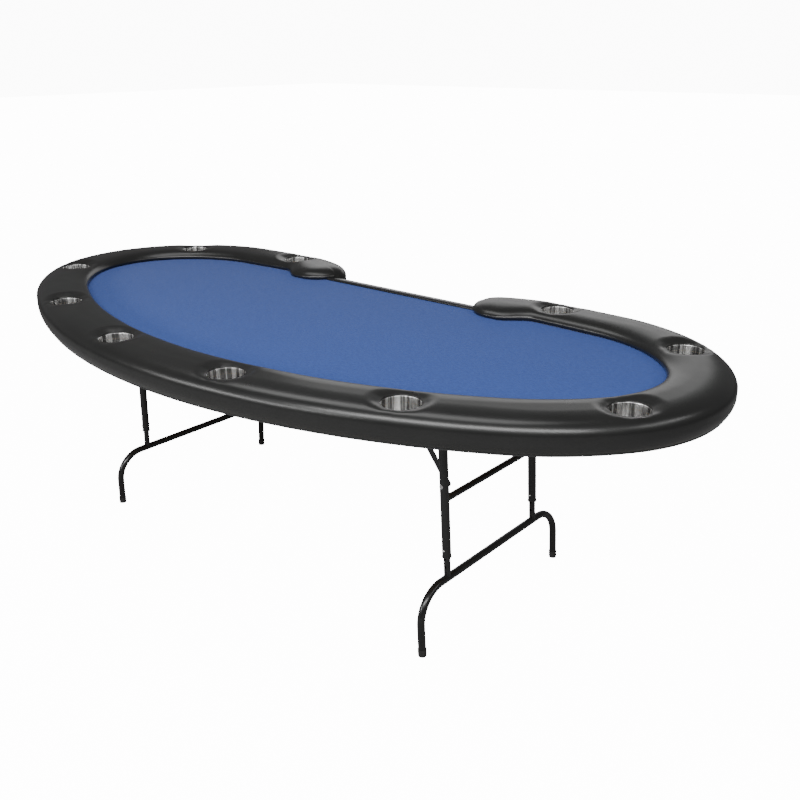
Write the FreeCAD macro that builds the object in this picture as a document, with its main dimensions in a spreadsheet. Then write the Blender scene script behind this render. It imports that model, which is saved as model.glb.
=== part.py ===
"""Oval ten-seat poker table on two folding, height-adjustable leg frames.

Millimetres, +Z up, +X along the table, +Y towards the dealer's straight edge.
The origin is on the floor, under the centre of the table's outline.
"""
import FreeCAD, Part
import math
import os
import Sketcher
from FreeCAD import Placement, Rotation, Vector

doc = FreeCAD.newDocument("poker_table")
sheet = doc.addObject("Spreadsheet::Sheet", "Dims")

SIZES = [
    # the oval outline of the padded rail: arcs that meet at these angles of their normals
    ("table_length", 2550.0), ("table_width", 1220.0), ("table_height", 775.0),
    ("near_side_ends", -60.67), ("near_shoulder_ends", -37.24),
    ("end_curve_ends", 36.33), ("far_shoulder_ends", 86.0),
    ("near_shoulder_radius", 755.0), ("end_radius", 430.0),
    # the rail ends stop short of the far arc's crown, so the oval sits this much towards the dealer
    ("outline_shift", 2.27),
    # playing board and cloth, from the board's underside up
    ("board_underside", 716.0), ("board_thickness", 18.0), ("board_inset", 14.0),
    ("underlay_thickness", 4.0), ("cloth_thickness", 1.0), ("cloth_under_rail", 11.5),
    # apron strip under the board's edge
    ("apron_thickness", 12.0), ("apron_gap", 0.2),
    # padded rail
    ("rail_width", 171.5), ("rail_underside", 684.0), ("rail_tuck", 26.0),
    ("rail_base_inset", 22.0), ("rail_base_width", 136.0), ("rail_base_thickness", 12.0),
    ("cover_thickness", 1.5), ("soft_gap", 0.3),
    ("rail_outer_round", 34.0), ("rail_inner_round", 14.0), ("rail_lower_round", 12.0),
    # dealer's straight edge and the rail ends beside it
    ("dealer_half_width", 308.0), ("dealer_edge", 456.7), ("dealer_cloth_edge", 419.9),
    ("trim_rise", 8.0), ("trim_wrap", 8.4), ("trim_drop", 47.0), ("trim_round", 3.8), ("trim_end_gap", 0.6),
    # each rail end is rounded off by a quarter ellipse, from its tip out to the oval
    ("end_tip_y", 478.0), ("end_round_length", 252.0),
    ("end_pad_radius", 87.0), ("end_pad_offset", 112.0),
    # drop-in cup holders
    ("cup_depth", 80.0), ("cup_bore_radius", 46.0), ("cup_wall", 1.0), ("cup_height", 64.0),
    ("cup_flange_radius", 52.5), ("cup_flange_thickness", 1.2), ("cup_rim_height", 761.6),
    ("cup_hole_gap", 0.8), ("cup_recess_radius", 66.0), ("cup_recess_gap", 1.2),
    ("cup_angle_a", -82.62), ("cup_angle_b", -67.69), ("cup_angle_c", -34.3),
    ("cup_angle_d", 50.0), ("cup_angle_e", 87.02),
    # rail bolts, up through the board into the rail base
    ("bolt_radius", 3.0), ("bolt_hole_gap", 0.2), ("bolt_head_radius", 6.5), ("bolt_head_height", 4.0),
    ("bolt_depth", 40.0),
    # leg frames
    ("left_pivot_height", 700.0), ("leg_stack_pitch", 30.0), ("leg_lean", 3.15), ("foot_reach", 694.7),
    ("leg_centre", 43.6), ("post_offset", 211.0),
    ("outer_tube_radius", 12.5), ("tube_wall", 1.5), ("inner_tube_radius", 9.5),
    ("crossbar_radius", 9.5), ("crossbar_height", 413.0), ("sleeve_end", 247.0),
    ("inner_tube_top", 395.0), ("running_gap", 0.05),
    ("bushing_inside", 12.0), ("bushing_collar", 3.0), ("bushing_collar_radius", 13.4),
    ("button_height", 266.0), ("button_radius", 3.9), ("button_hole_gap", 0.2), ("hole_pitch", 25.0),
    ("button_start", 9.9), ("button_shank", 2.7),
    # feet
    ("foot_bar_radius", 11.0), ("foot_bar_height", 180.0), ("foot_bar_half", 241.0), ("foot_bend_radius", 90.0),
    ("cap_radius", 12.2), ("cap_height", 22.0), ("cap_sole", 4.0), ("cap_bevel", 0.8), ("cap_bevel_height", 6.0),
    # hinge brackets
    ("plate_thickness", 3.0), ("hinge_plate_length", 70.0), ("hinge_plate_width", 40.0),
    ("ear_thickness", 4.0), ("ear_radius", 20.0), ("ear_gap", 1.5), ("pivot_tube_over", 2.0),
    ("screw_radius", 2.0), ("screw_length", 17.0), ("screw_head_radius", 4.5), ("screw_head_height", 2.5),
    # folding stays
    ("stay_reach", 150.0), ("rivet_height", 454.0), ("stay_thickness", 3.0), ("stay_radius", 9.0),
    ("stay_first_gap", 2.0), ("stay_layer_gap", 0.5), ("rivet_radius", 3.0), ("rivet_head_radius", 6.0),
    ("rivet_head_height", 1.5), ("stay_plate_length", 44.0), ("stay_plate_width", 28.0),
    ("spacer_length", 236.0), ("spacer_width", 106.0),
]
for row, (alias, number) in enumerate(SIZES, start=1):
    sheet.set("A%d" % row, alias)
    sheet.set("B%d" % row, repr(number))
    sheet.setAlias("B%d" % row, alias)
doc.recompute()

ALONG_Y = Rotation(Vector(1, 0, 0), -90)
ACROSS_BACK = Rotation(Vector(0, 1, 0), Vector(0, 0, 1), Vector(1, 0, 0), "XYZ")
ACROSS_FRONT = Rotation(Vector(0, 0, 1), Vector(0, -1, 0), Vector(1, 0, 0), "XYZ")
UP = Vector(0, 0, 1)
PAST = 20.0        # how far a cutting shape runs past the piece it cuts
nodes = {}


def size(alias):
    """The number in a cell of the sheet."""
    return float(sheet.get(alias))


def put(item, prop, value):
    """Bind a property to an expression, or set it to a worked-out number."""
    if isinstance(value, str):
        item.setExpression(prop, value)
    else:
        setattr(item, prop, value)


def place(x, y, z, rotation=Rotation()):
    return Placement(Vector(x, y, z), rotation)


def keep(label, item):
    """Name a finished sub-part."""
    item.Label = label
    nodes[label] = item
    return item


# ---------------------------------------------------------------- shared solids

def cylinder(radius, height, where):
    item = doc.addObject("Part::Cylinder", "rod")
    put(item, "Radius", radius)
    put(item, "Height", height)
    item.Placement = where
    return item


def box(length, width, height, where):
    item = doc.addObject("Part::Box", "block")
    put(item, "Length", length)
    put(item, "Width", width)
    put(item, "Height", height)
    item.Placement = where
    return item


def fuse(*pieces):
    item = doc.addObject("Part::MultiFuse", "joined")
    item.Shapes = list(pieces)
    return item


def cut(base, *tools):
    """The base with every tool taken away."""
    for tool in tools:
        item = doc.addObject("Part::Cut", "trimmed")
        item.Base = base
        item.Tool = tool
        base = item
    return base


def group(*pieces):
    """Separate solids that share one node."""
    item = doc.addObject("Part::Compound", "set_of")
    item.Links = list(pieces)
    return item


def new_body(label):
    return keep(label, doc.addObject("PartDesign::Body", label))


def sketch_on(body, role, height=0.0):
    """A sketch on one of the body's own planes, lifted along its normal."""
    plane = [p for p in body.Origin.OriginFeatures if p.Role == role][0]
    sketch = body.newObject("Sketcher::SketchObject", "profile")
    sketch.AttachmentSupport = [(plane, "")]
    sketch.MapMode = "FlatFace"
    put(sketch, "AttachmentOffset.Base.z" if isinstance(height, str) else "AttachmentOffset",
        height if isinstance(height, str) else place(0, 0, height))
    return sketch


def pad(body, sketch, length, midplane=False):
    item = body.newObject("PartDesign::Pad", "pad")
    item.Profile = sketch
    item.Midplane = midplane
    put(item, "Length", length)
    return item


def pocket_through(body, sketch, reversed_cut=False):
    """A cut all the way through; it must take something away."""
    doc.recompute()
    before = body.Shape.Volume
    item = body.newObject("PartDesign::Pocket", "pocket")
    item.Profile = sketch
    item.Type = "ThroughAll"
    item.Reversed = reversed_cut
    doc.recompute()
    if body.Shape.Volume > before - 1e-6:
        raise RuntimeError(body.Label + ": a pocket cuts nothing")
    return item


def add_circles(sketch, centres, radius):
    """Circles at known places, whose radius is bound to a cell."""
    start = len(sketch.Geometry)
    for x, y in centres:
        number = sketch.addGeometry(Part.Circle(Vector(x, y, 0), UP, 5.0), False)
        sketch.addConstraint(Sketcher.Constraint("DistanceX", -1, 1, number, 3, x))
        sketch.addConstraint(Sketcher.Constraint("DistanceY", -1, 1, number, 3, y))
        if number > start:
            sketch.addConstraint(Sketcher.Constraint("Equal", start, number))
    driver = sketch.addConstraint(Sketcher.Constraint("Radius", start, 5.0))
    sketch.setExpression("Constraints[%d]" % driver, radius)


def add_rectangle(sketch, x_low, x_high, y_low, y_high):
    corners = [(x_low, y_low), (x_high, y_low), (x_high, y_high), (x_low, y_high)]
    add_polygon(sketch, corners)


def add_polygon(sketch, corners):
    """A closed outline of straight lines through worked-out corners."""
    for (xa, ya), (xb, yb) in zip(corners, corners[1:] + corners[:1]):
        sketch.addGeometry(Part.LineSegment(Vector(xa, ya, 0), Vector(xb, yb, 0)), False)


# ---------------------------------------------------------------- the oval outline

def outline_radii():
    """Radii of the five arcs of half the oval, near side to far side.

    A step along an arc of radius r from normal angle a to b is
    (r (cos b - cos a), r (sin b - sin a)), so length and width give three of the radii.
    """
    turns = [math.radians(size(a)) for a in
             ("near_side_ends", "near_shoulder_ends", "end_curve_ends", "far_shoulder_ends")]
    c1, c2, c3, c4 = [math.cos(t) for t in turns]
    s1, s2, s3, s4 = [math.sin(t) for t in turns]
    half = size("table_length") / 2
    shoulder = size("near_shoulder_radius")
    end = size("end_radius")
    near = (half - shoulder * (c2 - c1) - end * (1 - c2)) / c1
    done = near * (1 + s1) + shoulder * (s2 - s1) + end * (s3 - s2)
    across = half - end * (1 - c3)
    along = size("table_width") - done
    det = (c3 - c4) * (1 - s4) - c4 * (s4 - s3)
    far_shoulder = (across * (1 - s4) - c4 * along) / det
    far = ((c3 - c4) * along - (s4 - s3) * across) / det
    return [near, shoulder, end, far_shoulder, far]


def outline_arcs():
    """(centre x, centre y, radius, first angle, last angle) of each arc of the right half."""
    angles = [-90.0, size("near_side_ends"), size("near_shoulder_ends"),
              size("end_curve_ends"), size("far_shoulder_ends"), 90.0]
    x, y = 0.0, size("outline_shift") - size("table_width") / 2
    arcs = []
    for radius, first, last in zip(outline_radii(), angles, angles[1:]):
        a, b = math.radians(first), math.radians(last)
        cx, cy = x - radius * math.cos(a), y - radius * math.sin(a)
        arcs.append((cx, cy, radius, first, last))
        x, y = cx + radius * math.cos(b), cy + radius * math.sin(b)
    return arcs


ARCS = outline_arcs()


def outline_curves(inset):
    """The closed oval, set in from the rail's outer edge, as eight tangent arcs."""
    near, shoulder, end, far_shoulder, far = ARCS
    right = [near[:3] + (-180 - near[4], near[4]), shoulder, end, far_shoulder,
             far[:3] + (far[3], 180 - far[3])]
    left = [(-cx, cy, r, 180 - last, 180 - first) for cx, cy, r, first, last in (far_shoulder, end, shoulder)]
    return [Part.ArcOfCircle(Part.Circle(Vector(cx, cy, 0), UP, r - inset), math.radians(a), math.radians(b))
            for cx, cy, r, a, b in right + left]


def on_outline(angle, inset):
    """The point at a normal angle, set in from the rail's outer edge; right half."""
    for cx, cy, radius, first, last in ARCS:
        if first <= angle <= last:
            turn = math.radians(angle)
            return cx + (radius - inset) * math.cos(turn), cy + (radius - inset) * math.sin(turn)
    raise ValueError("angle %g is not on the outline" % angle)


def oval_plate(label, insets, underside, thickness):
    """A flat plate or ring between parallel ovals."""
    body = new_body(label)
    sketch = sketch_on(body, "XY_Plane", underside)
    for inset in insets:
        for curve in outline_curves(inset):
            sketch.addGeometry(curve, False)
    pad(body, sketch, thickness)
    return body


far_reach = size("table_width") / 2 + size("outline_shift")


round_start = size("dealer_half_width") + size("end_round_length")


def outline_y(x, inset):
    """Height in y of the oval's far side at one x, set in from the rail's outer edge."""
    for cx, cy, radius, first, last in ARCS[3:]:
        reach = radius - inset
        if abs(x - cx) <= reach and first <= math.degrees(math.acos((x - cx) / reach)) <= last:
            return cy + math.sqrt(reach ** 2 - (x - cx) ** 2)
    raise ValueError("x %g is not under the far arcs" % x)


def bay_curves(inset, front):
    """The bay's outline between the two rounded rail ends, set back into them by an inset.

    On each side a quarter of an ellipse runs from the tip to the oval, where it is level.
    """
    tip_x = size("dealer_half_width") + inset
    tip_y = size("end_tip_y")
    along = size("end_round_length") - inset
    rise = outline_y(round_start, inset) - tip_y
    top = far_reach + PAST
    curves = []
    for side in (1, -1):
        centre = Vector(side * round_start, tip_y, 0)
        if along > rise:
            ellipse = Part.Ellipse(centre + Vector(along, 0, 0), centre + Vector(0, rise, 0), centre)
            first, last = (90, 180) if side > 0 else (0, 90)
        else:
            ellipse = Part.Ellipse(centre + Vector(0, rise, 0), centre + Vector(-along, 0, 0), centre)
            first, last = (0, 90) if side > 0 else (270, 360)
        curves.append(Part.ArcOfEllipse(ellipse, math.radians(first), math.radians(last)))
    corners = [(-round_start, tip_y + rise), (-round_start, top), (round_start, top), (round_start, tip_y + rise)]
    lower = [(tip_x, tip_y), (tip_x, front), (-tip_x, front), (-tip_x, tip_y)]
    for run in (corners, lower):
        for (xa, ya), (xb, yb) in zip(run, run[1:]):
            curves.append(Part.LineSegment(Vector(xa, ya, 0), Vector(xb, yb, 0)))
    return curves


def bay_solid(inset, front, low, high):
    edges = Part.sortEdges([curve.toShape() for curve in bay_curves(inset, front)])[0]
    face = Part.Face(Part.Wire(edges))
    face.translate(Vector(0, 0, low))
    return face.extrude(Vector(0, 0, high - low))


def cut_dealer_bay(body, inset, front):
    """Take the dealer's bay out of a plate whose edge is set in from the rail's."""
    sketch = sketch_on(body, "XY_Plane", size("table_height"))
    for curve in bay_curves(inset, front):
        sketch.addGeometry(curve, False)
    pocket_through(body, sketch)


def cut_far_side(body, half_width, front):
    """Cut a plate straight across on the dealer's side, over a width."""
    sketch = sketch_on(body, "XY_Plane", size("table_height"))
    add_rectangle(sketch, -half_width, half_width, front, far_reach + PAST)
    pocket_through(body, sketch)


def cut_holes(body, centres, radius):
    sketch = sketch_on(body, "XY_Plane", size("table_height"))
    add_circles(sketch, centres, radius)
    pocket_through(body, sketch)


CUP_ANGLES = [size("cup_angle_" + letter) for letter in "abcde"]
right_cups = [on_outline(angle, size("cup_depth")) for angle in CUP_ANGLES]
cup_places = right_cups + [(-x, y) for x, y in reversed(right_cups)]

BOLT_ANGLES = [(a + b) / 2 for a, b in zip(CUP_ANGLES, CUP_ANGLES[1:])]
right_bolts = [on_outline(angle, size("bolt_depth")) for angle in BOLT_ANGLES]
bolt_places = right_bolts + [(-x, y) for x, y in reversed(right_bolts)]

board_top = size("board_underside") + size("board_thickness")
cloth_underside = board_top + size("underlay_thickness")
cloth_top = cloth_underside + size("cloth_thickness")
base_top = board_top + size("rail_base_thickness")
notch_front = size("dealer_edge") - size("trim_wrap")
CUP_HOLE = "Dims.cup_bore_radius + Dims.cup_wall + Dims.cup_hole_gap"

# ---------------------------------------------------------------- leg frame places

lean = math.radians(size("leg_lean"))
left_pivot = size("left_pivot_height")
right_pivot = left_pivot - size("leg_stack_pitch")


class LegFrame:
    """Where one leg frame's pieces lie: its origin is on the pivot axis, midway between the posts."""

    def __init__(self, name, side, pivot_height):
        self.name = name
        self.side = side
        self.pivot_height = pivot_height
        self.pivot_x = side * (size("foot_reach") - math.tan(lean) * pivot_height)
        self.origin = place(self.pivot_x, size("leg_centre"), pivot_height,
                            Rotation(Vector(0, 1, 0), -side * size("leg_lean")))

    def drop(self, height):
        """Distance down the leg from its pivot to a height above the floor."""
        return (self.pivot_height - height) / math.cos(lean)

    def at(self, y, height, rotation=Rotation(), lower=0.0):
        return self.origin.multiply(place(0, y, -self.drop(height) - lower, rotation))

    def rivet(self):
        """Stay rivet on the leg's centre line (x, z)."""
        run = self.drop(size("rivet_height"))
        return (self.pivot_x + self.side * run * math.sin(lean), self.pivot_height - run * math.cos(lean))

    def stay_pin(self):
        """Stay pin under the board (x, z)."""
        return self.pivot_x - self.side * size("stay_reach"), self.pivot_height

    def stay_lengths(self):
        """Lower and upper stay: in line when the leg stands, folded back on themselves when it lies flat."""
        ax, az = self.rivet()
        bx, bz = self.stay_pin()
        total = math.hypot(bx - ax, bz - az)
        difference = self.drop(size("rivet_height")) - size("stay_reach")
        return (total + difference) / 2, (total - difference) / 2


legs = [LegFrame("left", -1, left_pivot), LegFrame("right", 1, right_pivot)]
ENDS = [("front", -1), ("back", 1)]

# distances inwards from a post's centre line to each layer of the stay
lower_stay_at = size("outer_tube_radius") + size("stay_first_gap")
upper_stay_at = lower_stay_at + size("stay_thickness") + size("stay_layer_gap")
stay_ear_at = upper_stay_at + size("stay_thickness") + size("stay_layer_gap")
hinge_ear_at = size("post_offset") + size("outer_tube_radius") + size("ear_gap")
ear_drop = size("board_underside") - left_pivot


def across(end, low, high):
    """The y range of a layer measured from the leg frame's centre, at one end."""
    centre = size("leg_centre")
    return sorted((centre + end * low, centre + end * high))


def hinge_screws(leg):
    """Screw places (x, y) of both hinge brackets of a leg frame."""
    half = size("hinge_plate_length") / 2 - 10
    y_out = hinge_ear_at + size("ear_thickness") + size("hinge_plate_width") / 2
    return [(leg.pivot_x + along * half, size("leg_centre") + end * y_out)
            for name, end in ENDS for along in (-1, 1)]


def stay_screws(leg):
    half = size("stay_plate_length") / 2 - 8
    y_in = size("post_offset") - stay_ear_at - size("stay_thickness") - size("stay_plate_width") / 2
    return [(leg.stay_pin()[0] + along * half, size("leg_centre") + end * y_in)
            for name, end in ENDS for along in (-1, 1)]


# ---------------------------------------------------------------- board, cloth and apron

board = oval_plate("table_board", [size("board_inset")], "Dims.board_underside", "Dims.board_thickness")
cut_dealer_bay(board, size("board_inset"), notch_front)
cut_holes(board, cup_places, CUP_HOLE)
cut_holes(board, bolt_places, "Dims.bolt_radius + Dims.bolt_hole_gap")
left_screws = hinge_screws(legs[0]) + stay_screws(legs[0])
cut_holes(board, left_screws, "Dims.screw_radius")

cloth_inset = size("rail_width") - size("cloth_under_rail")
cloth_front = size("dealer_edge") - size("trim_wrap") - size("trim_end_gap")
underlay = oval_plate("cloth_underlay", [cloth_inset], board_top, "Dims.underlay_thickness")
cut_far_side(underlay, size("table_length"), cloth_front)
cloth = oval_plate("playing_cloth", [cloth_inset], cloth_underside, "Dims.cloth_thickness")
cut_far_side(cloth, size("table_length"), cloth_front)

apron_underside = size("rail_underside") + size("cover_thickness") + size("apron_gap")
apron_inner = size("board_inset") + size("apron_thickness")
apron = oval_plate("edge_apron", [size("board_inset"), apron_inner], apron_underside,
                   size("board_underside") - apron_underside)
cut_far_side(apron, round_start, 0.0)

dealer_apron = new_body("dealer_apron")
strip = sketch_on(dealer_apron, "XY_Plane", apron_underside)
near_line = bay_curves(apron_inner, notch_front - size("apron_thickness"))
edge_line = bay_curves(size("board_inset"), notch_front)
end_inner = outline_y(round_start, apron_inner)
end_outer = outline_y(round_start, size("board_inset"))
open_side = [2, 3, 4]      # the three lines that close the bay on its far side
for line in (near_line, edge_line):
    for number, curve in enumerate(line):
        if number not in open_side:
            strip.addGeometry(curve, False)
for side in (-1, 1):
    strip.addGeometry(Part.LineSegment(Vector(side * round_start, end_inner, 0),
                                       Vector(side * round_start, end_outer, 0)), False)
pad(dealer_apron, strip, size("board_underside") - apron_underside)

# ---------------------------------------------------------------- padded rail

base_inner = size("rail_base_inset") + size("rail_base_width")
rail_base = oval_plate("rail_base", [size("rail_base_inset"), base_inner], board_top, "Dims.rail_base_thickness")
cut_dealer_bay(rail_base, size("rail_base_inset"), 0.0)
cut_holes(rail_base, cup_places, CUP_HOLE)
cut_holes(rail_base, bolt_places, "Dims.bolt_radius")


def oval_solid(inset, low, high):
    face = Part.Face(Part.Wire([c.toShape() for c in outline_curves(inset)]))
    face.translate(Vector(0, 0, low))
    return face.extrude(Vector(0, 0, high - low))


def rounded(solid, height, radius, outer):
    """Round the long edges of an oval ring at one height, on its outer or inner side."""
    middle = size("rail_width") / 2
    edges = []
    for edge in solid.Edges:
        where = edge.BoundBox
        if abs(where.ZMin - height) > 1e-4 or abs(where.ZMax - height) > 1e-4:
            continue
        point = edge.valueAt((edge.FirstParameter + edge.LastParameter) / 2)
        if (oval_distance(point) < middle) == outer:
            edges.append(edge)
    return solid.makeFillet(radius, edges)


def oval_distance(point):
    """How far a point lies inside the rail's outer edge."""
    x, y = abs(point.x), point.y
    best = None
    for cx, cy, radius, first, last in ARCS:
        angle = math.degrees(math.atan2(y - cy, x - cx))
        if first - 1e-6 <= angle <= last + 1e-6:
            depth = radius - math.hypot(x - cx, y - cy)
            best = depth if best is None else min(best, depth)
    return best


def rail_form(skin):
    """The padded rail's outer form, set in by the thickness of its cover."""
    low = size("rail_underside") + skin
    high = size("table_height") - skin
    ring = oval_solid(skin, low, high).cut(oval_solid(size("rail_width") - skin, low - PAST, high + PAST))
    ring = rounded(ring, high, size("rail_outer_round") - skin, True)
    ring = rounded(ring, high, size("rail_inner_round") - skin, False)
    ring = rounded(ring, low, size("rail_lower_round") - skin, True)
    ring = ring.cut(bay_solid(skin, 0.0, low - PAST, high + PAST))
    pad_x = size("dealer_half_width") + size("end_pad_offset")
    pad_y = size("dealer_edge")
    pad_radius = size("end_pad_radius") - skin
    for side in (-1, 1):
        swell = Part.makeCylinder(pad_radius, high - cloth_top, Vector(side * pad_x, pad_y, cloth_top))
        rim = [e for e in swell.Edges if abs(e.BoundBox.ZMin - high) < 1e-4 and len(e.Vertexes) == 1]
        ring = ring.fuse(swell.makeFillet(size("rail_inner_round") - skin, rim))
    recess_floor = size("cup_rim_height") - size("cup_flange_thickness") - size("cup_recess_gap") - skin
    floor_radius = size("cup_flange_radius") + size("cup_recess_gap") + skin
    hole = size("cup_bore_radius") + size("cup_wall") + size("cup_hole_gap") + size("soft_gap")
    for x, y in cup_places:
        recess = Part.makeCone(floor_radius, size("cup_recess_radius") + skin, high + 1 - recess_floor,
                               Vector(x, y, recess_floor))
        well = Part.makeCylinder(hole, high - low + 2 * PAST, Vector(x, y, low - PAST))
        ring = ring.cut(recess).cut(well)
    return ring


def largest_solid(shape):
    return max(shape.Solids, key=lambda solid: solid.Volume)


gap_soft = size("soft_gap")
outer_form = rail_form(0.0)
inner_form = rail_form(size("cover_thickness"))
above = size("table_height") + PAST
under_deck = oval_solid(size("rail_tuck"), size("rail_underside") - PAST, cloth_top + gap_soft)
cover_shape = outer_form.cut(inner_form).cut(under_deck)
board_room = oval_solid(size("board_inset") - gap_soft, size("rail_underside") - PAST, board_top + gap_soft)
base_room = oval_solid(size("rail_base_inset") - gap_soft, board_top - 1, base_top + gap_soft).cut(
    oval_solid(base_inner + gap_soft, board_top - 1 - PAST, above))
cloth_room = oval_solid(base_inner, board_top - 1, cloth_top + gap_soft)
foam_shape = inner_form.cut(board_room).cut(base_room).cut(cloth_room)


def slab(low, high):
    """A block over the whole table between two heights."""
    reach = size("table_length")
    return Part.makeBox(2 * reach, 2 * reach, high - low, Vector(-reach, -reach, low))


# the padding is a strip glued round the board's edge and a top pad laid over it
pad_underside = base_top + gap_soft
edge_strip = foam_shape.common(slab(size("rail_underside"), pad_underside))
top_pad = foam_shape.common(slab(pad_underside, size("table_height")))
foam = doc.addObject("Part::Feature", "rail_foam")
foam.Shape = Part.makeCompound([s for s in edge_strip.Solids + top_pad.Solids if s.Volume > 1000])
keep("rail_foam", foam)
cover = doc.addObject("Part::Feature", "rail_cover")
cover.Shape = Part.makeCompound([s for s in cover_shape.Solids if s.Volume > 1000])
keep("rail_cover", cover)

# dealer's edge roll: wraps the board's straight edge and laps onto the cloth
trim = new_body("dealer_edge_trim")
profile = sketch_on(trim, "YZ_Plane")
roll_top = cloth_top + size("trim_rise")
lap = cloth_top + gap_soft
inside = notch_front + gap_soft
low_edge = roll_top - size("trim_drop") - size("trim_rise")
round_off = size("trim_round")
add_polygon(profile, [(size("dealer_cloth_edge"), lap), (inside, lap), (inside, low_edge),
                      (size("dealer_edge"), low_edge), (size("dealer_edge"), roll_top - round_off),
                      (size("dealer_edge") - round_off, roll_top),
                      (size("dealer_cloth_edge") + round_off, roll_top),
                      (size("dealer_cloth_edge"), roll_top - round_off)])
pad(trim, profile, "2 * (Dims.dealer_half_width - Dims.trim_end_gap)", midplane=True)

# ---------------------------------------------------------------- cup holders

def cup_holder(label, x, y):
    """A pressed can with a flat flange, dropped in from above."""
    rim = size("cup_rim_height")
    can = cylinder("Dims.cup_bore_radius + Dims.cup_wall", "Dims.cup_height", place(x, y, rim - size("cup_height")))
    flange = cylinder("Dims.cup_flange_radius", "Dims.cup_flange_thickness",
                      place(x, y, rim - size("cup_flange_thickness")))
    bore = cylinder("Dims.cup_bore_radius", "Dims.cup_height + Dims.cup_wall",
                    place(x, y, rim - size("cup_height") + size("cup_wall")))
    keep(label, cut(fuse(can, flange), bore))


for number, (x, y) in enumerate(cup_places, start=1):
    cup_holder("cup_holder_%02d" % number, x, y)

bolts = []
for x, y in bolt_places:
    head = cylinder("Dims.bolt_head_radius", "Dims.bolt_head_height",
                    place(x, y, size("board_underside") - size("bolt_head_height")))
    shank = cylinder("Dims.bolt_radius", "Dims.board_thickness + Dims.rail_base_thickness",
                     place(x, y, size("board_underside")))
    bolts.append(fuse(head, shank))
keep("rail_bolts", group(*bolts))

# ---------------------------------------------------------------- brackets, spacers and screws

def hinge_bracket(leg, end):
    """Plate under the board with one ear, bored for the pivot tube."""
    ear_low, ear_high = across(end, hinge_ear_at, hinge_ear_at + size("ear_thickness"))
    plate_low, plate_high = across(end, hinge_ear_at,
                                   hinge_ear_at + size("ear_thickness") + size("hinge_plate_width"))
    top = leg.pivot_height + ear_drop
    plate = box("Dims.hinge_plate_length", plate_high - plate_low, "Dims.plate_thickness",
                place(leg.pivot_x - size("hinge_plate_length") / 2, plate_low, top - size("plate_thickness")))
    web = box("2 * Dims.ear_radius", "Dims.ear_thickness", ear_drop - 1.0,
              place(leg.pivot_x - size("ear_radius"), ear_low, leg.pivot_height))
    lobe = cylinder("Dims.ear_radius", "Dims.ear_thickness", place(leg.pivot_x, ear_low, leg.pivot_height, ALONG_Y))
    top_cut = box("4 * Dims.ear_radius", ear_high - ear_low + 2, "2 * Dims.ear_radius",
                  place(leg.pivot_x - 2 * size("ear_radius"), ear_low - 1, top))
    bore = cylinder("Dims.outer_tube_radius + Dims.running_gap", ear_high - ear_low + 2,
                    place(leg.pivot_x, ear_low - 1, leg.pivot_height, ALONG_Y))
    holes = [cylinder("Dims.screw_radius + Dims.running_gap", "Dims.plate_thickness + 2",
                      place(x, y, top - size("plate_thickness") - 1))
             for x, y in hinge_screws(leg) if plate_low < y < plate_high]
    return cut(fuse(plate, web, lobe), top_cut, bore, *holes)


def stay_bracket(leg, end):
    """Angle under the board with a riveted pin for the upper stay."""
    post = size("post_offset")
    pin_x, pin_z = leg.stay_pin()
    ear_low, ear_high = across(end, post - stay_ear_at - size("stay_thickness"), post - stay_ear_at)
    plate_far = post - stay_ear_at - size("stay_thickness") - size("stay_plate_width")
    plate_low, plate_high = across(end, plate_far, post - stay_ear_at)
    top = leg.pivot_height + ear_drop
    plate = box("Dims.stay_plate_length", plate_high - plate_low, "Dims.plate_thickness",
                place(pin_x - size("stay_plate_length") / 2, plate_low, top - size("plate_thickness")))
    web = box("2 * Dims.stay_radius", "Dims.stay_thickness", ear_drop - 1.0,
              place(pin_x - size("stay_radius"), ear_low, pin_z))
    lobe = cylinder("Dims.stay_radius", "Dims.stay_thickness", place(pin_x, ear_low, pin_z, ALONG_Y))
    head_at, head_end = across(end, post - stay_ear_at - size("stay_thickness") - size("rivet_head_height"),
                               post - stay_ear_at - size("stay_thickness"))
    pin_low, pin_high = across(end, post - stay_ear_at, post - upper_stay_at)
    head = cylinder("Dims.rivet_head_radius", "Dims.rivet_head_height", place(pin_x, head_at, pin_z, ALONG_Y))
    pin = cylinder("Dims.rivet_radius", pin_high - pin_low, place(pin_x, pin_low, pin_z, ALONG_Y))
    holes = [cylinder("Dims.screw_radius + Dims.running_gap", "Dims.plate_thickness + 2",
                      place(x, y, top - size("plate_thickness") - 1))
             for x, y in stay_screws(leg) if plate_low < y < plate_high]
    return cut(fuse(plate, web, lobe, head, pin), *holes)


for leg in legs:
    keep("%s_hinge_brackets" % leg.name, group(*[hinge_bracket(leg, end) for name, end in ENDS]))
    keep("%s_stay_brackets" % leg.name, group(*[stay_bracket(leg, end) for name, end in ENDS]))

right_leg = legs[1]
spacer_x = right_leg.stay_pin()[0] - size("stay_plate_length") / 2 - 8
spacer_far = size("post_offset") - stay_ear_at - size("stay_thickness") - size("stay_plate_width") - 2
blocks = []
for name, end in ENDS:
    y_low, y_high = across(end, spacer_far, spacer_far + size("spacer_width"))
    block = box("Dims.spacer_length", "Dims.spacer_width", "Dims.leg_stack_pitch",
                place(spacer_x, y_low, size("board_underside") - size("leg_stack_pitch")))
    holes = [cylinder("Dims.screw_radius", "Dims.leg_stack_pitch + 2",
                      place(x, y, size("board_underside") - size("leg_stack_pitch") - 1))
             for x, y in hinge_screws(right_leg) + stay_screws(right_leg) if y_low < y < y_high]
    blocks.append(cut(block, *holes))
keep("right_spacer_blocks", group(*blocks))

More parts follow.
